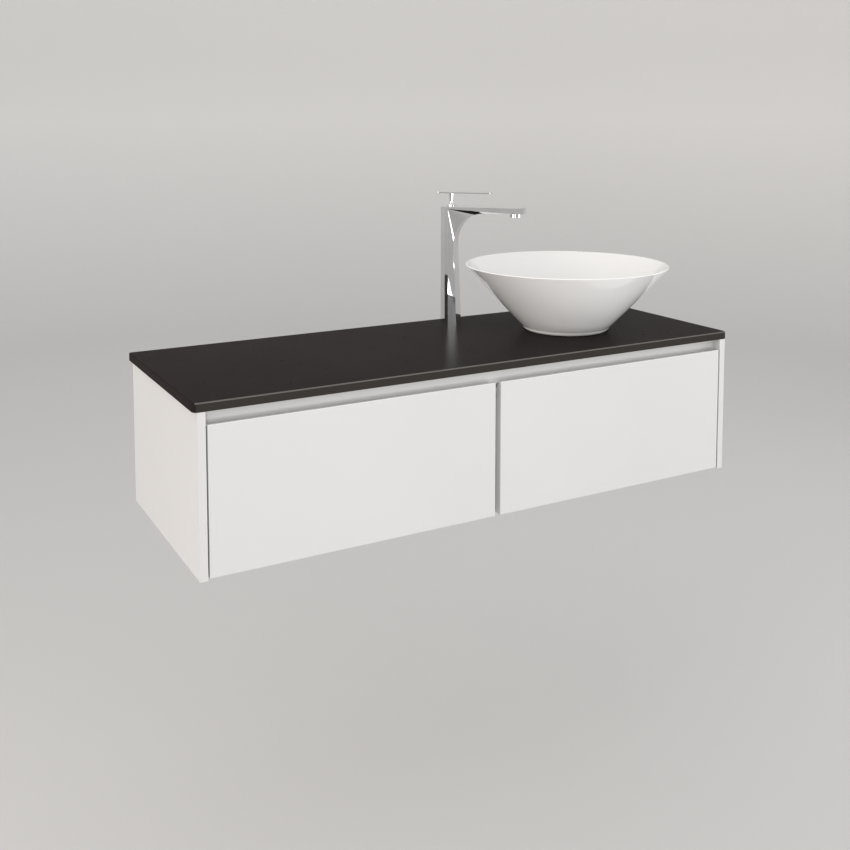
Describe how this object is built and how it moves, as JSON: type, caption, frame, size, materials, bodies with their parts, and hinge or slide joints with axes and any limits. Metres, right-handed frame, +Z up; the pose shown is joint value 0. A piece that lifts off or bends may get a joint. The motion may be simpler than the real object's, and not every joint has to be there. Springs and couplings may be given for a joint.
{
  "type": "vessel sink on vanity",
  "caption": "Wall-hung bathroom vanity with two drawers, a dark benchtop, a white cone vessel basin and a tall chrome lever mixer.",
  "frame": {"origin": "on the wall plane, in the middle of the four wall-fixing holes, half way up the carcass", "axes": "+X to the right along the wall, +Y into the wall, +Z up; the drawers open towards -Y"},
  "size_m": [1.2, 0.4545, 0.607],
  "materials": {
    "cabinet_lacquer": "satin white lacquer",
    "board": "white melamine-faced board",
    "channel": "satin, light grey coated",
    "dowel_wood": "plain beech",
    "benchtop": "satin charcoal",
    "basin_glaze": "gloss white glaze",
    "rubber": "matte",
    "chrome": "polished",
    "brass": "machined",
    "trap_plastic": "moulded white",
    "grey_plastic": "moulded grey",
    "steel": "zinc plated"
  },
  "bodies": {
    "cabinet": {"left_side_panel": "cabinet_lacquer", "right_side_panel": "cabinet_lacquer", "centre_divider": "board", "bottom_panel": "board", "back_top_rail": "board", "back_bottom_rail": "board", "top_front_stretcher": "board", "finger_pull_channel": "channel", "carcass_dowels": "dowel_wood", "benchtop": "benchtop", "basin": "basin_glaze", "basin_seal": "rubber", "waste_washer": "rubber", "mixer_base_seal": "rubber", "mixer_clamp_seal": "rubber", "waste_body": "chrome", "mixer_body": "chrome", "mixer_cartridge_nut": "chrome", "aerator_housing": "chrome", "waste_backnut": "brass", "mixer_shank": "brass", "mixer_clamp_nut": "brass", "trap_inlet_nut": "trap_plastic", "trap_inlet_pipe": "trap_plastic", "trap_body": "trap_plastic", "trap_cup": "trap_plastic", "trap_outlet_nut": "trap_plastic", "trap_outlet_pipe": "trap_plastic", "trap_wall_flange": "trap_plastic", "aerator_insert": "grey_plastic", "mixer_cartridge": "grey_plastic", "mixer_clamp_plate": "steel", "left_drawer_cabinet_rail_left": "steel", "left_drawer_cabinet_rail_right": "steel", "right_drawer_cabinet_rail_left": "steel", "right_drawer_cabinet_rail_right": "steel"},
    "waste_plug": {"waste_plug": "chrome", "waste_plug_seal": "rubber"},
    "mixer_swivel": {"mixer_pivot_cup": "chrome"},
    "mixer_lever": {"mixer_lever_stem": "chrome", "mixer_lever_plate": "chrome", "mixer_grub_screw": "steel"},
    "left_runner_middle": {"left_drawer_mid_rails": "steel"},
    "right_runner_middle": {"right_drawer_mid_rails": "steel"},
    "left_drawer": {"left_drawer_front": "cabinet_lacquer", "left_drawer_side_left": "board", "left_drawer_side_right": "board", "left_drawer_back": "board", "left_drawer_base": "board", "left_drawer_inner_rails": "steel", "left_drawer_bumpers": "rubber"},
    "right_drawer": {"right_drawer_front": "cabinet_lacquer", "right_drawer_side_left": "board", "right_drawer_side_right": "board", "right_drawer_back_left": "board", "right_drawer_back_right": "board", "right_drawer_base": "board", "right_drawer_notch_surround": "trap_plastic", "right_drawer_inner_rails": "steel", "right_drawer_bumpers": "rubber"}
  },
  "joints": [
    {"name": "left_drawer_slide", "type": "slide", "parent": "cabinet", "child": "left_drawer", "axis": [0, -1, 0], "range_m": [0, 0.34]},
    {"name": "left_runner_slide", "type": "slide", "parent": "cabinet", "child": "left_runner_middle", "axis": [0, -1, 0], "range_m": [0, 0.17]},
    {"name": "right_drawer_slide", "type": "slide", "parent": "cabinet", "child": "right_drawer", "axis": [0, -1, 0], "range_m": [0, 0.34]},
    {"name": "right_runner_slide", "type": "slide", "parent": "cabinet", "child": "right_runner_middle", "axis": [0, -1, 0], "range_m": [0, 0.17]},
    {"name": "mixer_swivel_turn", "type": "hinge", "parent": "cabinet", "child": "mixer_swivel", "pos_m": [0.124, -0.043, 0.436], "axis": [0, 0, 1], "range_deg": [-45, 45]},
    {"name": "mixer_lever_tilt", "type": "hinge", "parent": "mixer_swivel", "child": "mixer_lever", "pos_m": [0.124, -0.043, 0.436], "axis": [-0.7096, -0.7046, 0], "range_deg": [0, 22]},
    {"name": "waste_plug_lift", "type": "slide", "parent": "cabinet", "child": "waste_plug", "axis": [0, 0, 1], "range_m": [0, 0.009]}
  ],
  "couplings": [
    {"joint": "left_runner_slide", "follows": "left_drawer_slide", "ratio": 0.5},
    {"joint": "right_runner_slide", "follows": "right_drawer_slide", "ratio": 0.5}
  ]
}
